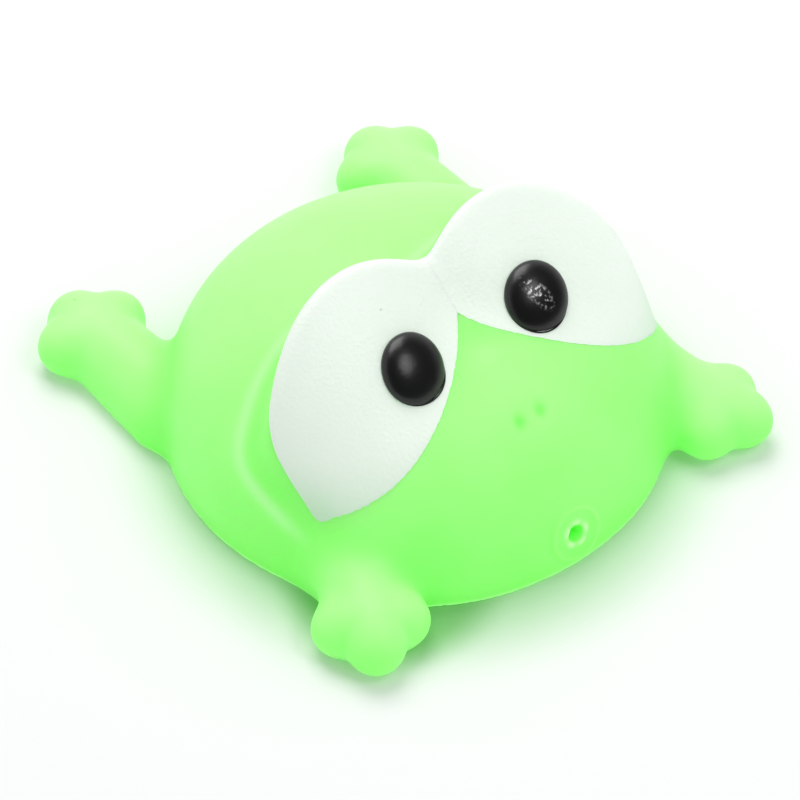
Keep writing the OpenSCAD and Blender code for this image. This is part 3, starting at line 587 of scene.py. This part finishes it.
def white_outline(p, crest_over):
    """Negative where the paint lies, in millimetres from its edge, on the half where x is positive."""
    d = p[:, :2] - white_centre
    c, s = math.cos(white_turn), math.sin(white_turn)
    across, along = c * d[:, 0] + s * d[:, 1], c * d[:, 1] - s * d[:, 0]
    oval = np.hypot(across / white_half[0], along / white_half[1]) - 1
    q = softened(p)
    behind = crest(q) - eye_oval(q) - crest_over
    heading = np.degrees(np.arctan2(p[:, 1] - core_y, p[:, 0]))
    climb = np.clip(heading - tip_heading, 0, crest_heading - tip_heading) ** rim_power * rim_climb
    outer = rim_low + climb - in_eye(q)[:, 2] - np.maximum(tip_heading - heading, 0) * 0.5
    front = 22 * oval + ragged(p, 0.05)
    edge = smooth_max(smooth_max(front, outer, 0.9), behind + ragged(p, 0.02), 0.8)
    return np.maximum(edge, white_low - p[:, 2])


def white_paint(name, side, crest_over):
    """One white: the part of the skin inside the outline, trimmed to it and given its thickness."""
    way = np.array([side, 1, 1])
    here = skin_points * way

    def trim(p):
        return np.maximum(white_outline(p, crest_over), -p[:, 0])

    outside = trim(here)
    patch = bmesh.new()
    patch.from_mesh(fine)
    patch.verts.ensure_lookup_table()
    gone = [f for f in patch.faces if all(outside[v.index] > 0 for v in f.verts)]
    bmesh.ops.delete(patch, geom=gone, context="FACES")
    bmesh.ops.delete(patch, geom=[v for v in patch.verts if not v.link_faces], context="VERTS")
    piece = bpy.data.objects.new(name, bpy.data.meshes.new(name))
    patch.to_mesh(piece.data)
    patch.free()
    bpy.context.collection.objects.link(piece)
    at = into_form(piece.data) * way
    beyond = trim(at) > 0
    for _ in range(14):
        value, slope, up = trim(at), slope_of(trim, at), slope_of(skin_form, at)
        up /= np.linalg.norm(up, axis=1)[:, None]
        slope -= (slope * up).sum(axis=1)[:, None] * up
        move = 0.7 * (value / np.maximum((slope ** 2).sum(axis=1), 0.1))[:, None] * slope
        at = np.where((beyond & (value > -1))[:, None], at - np.clip(move, -0.4, 0.4), at)
        at = np.where(beyond[:, None], at - skin_form(at)[:, None] * up, at)
    up = slope_of(skin_form, at)
    up /= np.linalg.norm(up, axis=1)[:, None]
    inside = np.clip(white_outline(at, crest_over) / -0.5, 0, 1)
    rise = white_over * np.sqrt(inside * (2 - inside)) + 0.004 + 0.12 * np.exp(-(at[:, 0] / 0.35) ** 2)
    out_of_form(piece.data, (at + rise[:, None] * up) * way)
    thick = bmesh.new()
    thick.from_mesh(piece.data)
    bmesh.ops.triangulate(thick, faces=[f for f in thick.faces if len(f.verts) > 4])
    rim = [e for e in thick.edges if e.is_boundary]
    lower = bmesh.ops.duplicate(thick, geom=thick.verts[:] + thick.edges[:] + thick.faces[:])
    under = (at + white_under * up) * way + np.array([0, axis_y, 0])
    pairs = lower["vert_map"]
    thick.verts.ensure_lookup_table()
    for v in list(thick.verts)[:len(at)]:
        pairs[v].co = Vector(under[v.index] / 1000)
    for e in rim:
        a, b = e.verts
        thick.faces.new((a, b, pairs[b], pairs[a]))
    bmesh.ops.recalc_face_normals(thick, faces=thick.faces)
    for e in rim:
        e.smooth = False
    for f in thick.faces:
        f.smooth = True
    thick.to_mesh(piece.data)
    thick.free()
    return piece


white_finish, pn, pl, white_surface = finish_of("sprayed_white_paint")
white_grain = grained(pn, pl, 1700, 0.05, white_surface, 0.00016)
white_place = pn.new("ShaderNodeTexCoord")
split = pn.new("ShaderNodeSeparateXYZ")
pl.new(white_place.outputs["Object"], split.inputs["Vector"])
low_down = spread(pn, pl, split.outputs["Z"], 0.025, 0.012)
tone = mixed(pn, pl, low_down, (0.795, 0.835, 0.785), (0.49, 0.71, 0.50))
clouds = spread(pn, pl, white_grain.outputs["Cloud"], 0.35, 0.75, 0.0, 0.35)
tone = mixed(pn, pl, clouds, tone, (0.83, 0.86, 0.82))
tone = mixed(pn, pl, white_grain.outputs["Speck"], tone, (0.55, 0.62, 0.54))
pl.new(tone, white_surface.inputs["Base Color"])
white_surface.inputs["Roughness"].default_value = 0.38
white_surface.inputs["Specular IOR Level"].default_value = 0.35
white_surface.inputs["Subsurface Weight"].default_value = 0.25
white_surface.inputs["Subsurface Radius"].default_value = (0.7, 1.0, 0.7)
white_surface.inputs["Subsurface Scale"].default_value = 0.0012
for name, side, crest_over, node in (("white_paint_left", 1, 0.3, "eye_white_left"),
                                     ("white_paint_right", -1, 1.0, "eye_white_right")):
    white = white_paint(name, side, crest_over)
    white.data.materials.clear()
    white.data.materials.append(white_finish)
    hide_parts(node)
    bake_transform(white)

# Pupils.
# Raised ovals moulded on the eyes and covered with thick gloss black paint, so each is a low
# black dome with a crisp rounded rim that sits on the white.
pupil_at = settle(np.array([[12.2, -13.85, 30.2]]), skin_form)[0]
pupil_across_r, pupil_up_r, pupil_rim, pupil_dome, pupil_paint_t = 5.25, 5.75, 0.15, 2.2, 0.25
pupil_lean, pupil_heading = math.radians(41), math.radians(-94)


def pupil(name, side, roll):
    """One pupil: an arc spun round its axis, made oval, leant with the eye and let down on the white."""
    dome = bmesh.new()
    steps = 26
    lift = [math.pi / 2 * i / steps for i in range(steps + 1)]
    profile = [(pupil_up_r * math.sin(t), pupil_rim + pupil_dome * math.cos(t)) for t in lift]
    profile += [(pupil_up_r, -0.2), (pupil_up_r - pupil_paint_t, -0.2)]
    inner = 1 - pupil_paint_t / pupil_up_r
    profile += [(r * inner, z - pupil_paint_t) for r, z in reversed(profile[:steps + 1])]
    line = [dome.verts.new((r, 0, z)) for r, z in profile]
    edges = [dome.edges.new(pair) for pair in zip(line, line[1:])]
    bmesh.ops.spin(dome, geom=line + edges, axis=(0, 0, 1), cent=(0, 0, 0), angle=2 * math.pi, steps=96,
                   use_merge=True)
    bmesh.ops.remove_doubles(dome, verts=dome.verts, dist=1e-4)
    bmesh.ops.scale(dome, verts=dome.verts, vec=(1, pupil_across_r / pupil_up_r, 1))
    rim = [v for v in dome.verts if abs(v.co.z + 0.2) < 1e-4]
    facing = Matrix.Rotation(pupil_heading, 4, "Z") @ Matrix.Rotation(pupil_lean, 4, "Y") @ Matrix.Rotation(
        math.radians(roll), 4, "Z")
    out_way = np.array(facing.to_3x3() @ Vector((0, 0, 1)))
    bmesh.ops.transform(dome, verts=dome.verts, matrix=Matrix.Translation(pupil_at) @ facing)
    foot = np.array([v.co for v in rim])
    for _ in range(12):
        foot = foot - (skin_form(foot) - 0.15)[:, None] * out_way
    for v, p in zip(rim, foot):
        v.co = Vector(p)
    for v in dome.verts:
        v.co = Vector((side * v.co.x, v.co.y + axis_y, v.co.z)) / 1000
    # The right pupil still comes out with its faces turned inwards: an open fault
    bmesh.ops.recalc_face_normals(dome, faces=dome.faces)
    for f in dome.faces:
        f.smooth = True
    piece = bpy.data.objects.new(name, bpy.data.meshes.new(name))
    dome.to_mesh(piece.data)
    dome.free()
    bpy.context.collection.objects.link(piece)
    return piece


black_finish, bn, bl, black_surface = finish_of("gloss_black_paint")
black_grain = grained(bn, bl, 650, 0.04, black_surface, 0.00006)
bl.new(mixed(bn, bl, spread(bn, bl, black_grain.outputs["Cloud"], 0.3, 0.8), (0.0015, 0.002, 0.0017),
             (0.003, 0.004, 0.0035)), black_surface.inputs["Base Color"])
black_surface.inputs["Roughness"].default_value = 0.28
black_surface.inputs["Specular IOR Level"].default_value = 0.5
# A painted highlight runs over the frog's left pupil: a streak of small pale specks, laid across the camera's
# view, for light glinting on its rough paint
along = (0.72 * to_right - 0.69 * to_top).normalized()
streak_axes = Matrix((along, to_camera.cross(along), to_camera)).transposed()
streak_at = Vector((pupil_at[0], pupil_at[1] + axis_y, pupil_at[2])) / 1000 + 0.0007 * to_top
black_place = bn.new("ShaderNodeTexCoord")
streak = bn.new("ShaderNodeMapping")
streak.vector_type = "TEXTURE"
streak.inputs["Location"].default_value = streak_at
streak.inputs["Rotation"].default_value = streak_axes.to_euler()
streak.inputs["Scale"].default_value = (0.0042, 0.0019, 0.006)
bl.new(black_place.outputs["Object"], streak.inputs["Vector"])
from_streak = bn.new("ShaderNodeVectorMath")
from_streak.operation = "LENGTH"
bl.new(streak.outputs["Vector"], from_streak.inputs[0])
glint_noise = bn.new("ShaderNodeTexNoise")
glint_noise.inputs["Scale"].default_value = 1700
glint_noise.inputs["Detail"].default_value = 4
bl.new(black_place.outputs["Object"], glint_noise.inputs["Vector"])
painted_glints = bn.new("ShaderNodeMath")
painted_glints.operation = "MULTIPLY"
bl.new(spread(bn, bl, from_streak.outputs["Value"], 1.0, 0.4), painted_glints.inputs[0])
bl.new(spread(bn, bl, glint_noise.outputs["Fac"], 0.5, 0.66), painted_glints.inputs[1])
tinted = black_surface.inputs["Base Color"].links[0].from_socket
bl.new(mixed(bn, bl, painted_glints.outputs["Value"], tinted, (0.66, 0.67, 0.66)), black_surface.inputs["Base Color"])
for name, side, roll, node in (("pupil_dome_left", 1, -28, "pupil_left"),
                               ("pupil_dome_right", -1, 28, "pupil_right")):
    black = pupil(name, side, roll)
    black.data.materials.append(black_finish)
    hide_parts(node)
    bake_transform(black)

# Squeaker.
# A cup of hard white plastic pushed into the belly, a plate with holes in its mouth, a plug with
# an air channel, and a thin reed. All are plain mouldings, and only the flange and plate show.
cup_finish, sn, sl, cup_surface = finish_of("squeaker_plastic")
cup_grain = grained(sn, sl, 1800, 0.03, cup_surface, 0.00002)
sl.new(mixed(sn, sl, cup_grain.outputs["Cloud"], (0.80, 0.80, 0.76), (0.86, 0.86, 0.83)),
       cup_surface.inputs["Base Color"])
cup_surface.inputs["Roughness"].default_value = 0.35
reed_finish, rn, rl, reed_surface = finish_of("reed_film")
reed_grain = grained(rn, rl, 3000, 0.02, reed_surface, 0.00001)
rl.new(mixed(rn, rl, reed_grain.outputs["Cloud"], (0.62, 0.53, 0.30), (0.72, 0.64, 0.40)),
       reed_surface.inputs["Base Color"])
reed_surface.inputs["Roughness"].default_value = 0.25
looks = {"squeaker_housing": cup_finish, "squeaker_grille": cup_finish, "reed_holder": cup_finish,
         "reed": reed_finish}
for node, look in looks.items():
    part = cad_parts[node]
    part.data.materials.clear()
    part.data.materials.append(look)
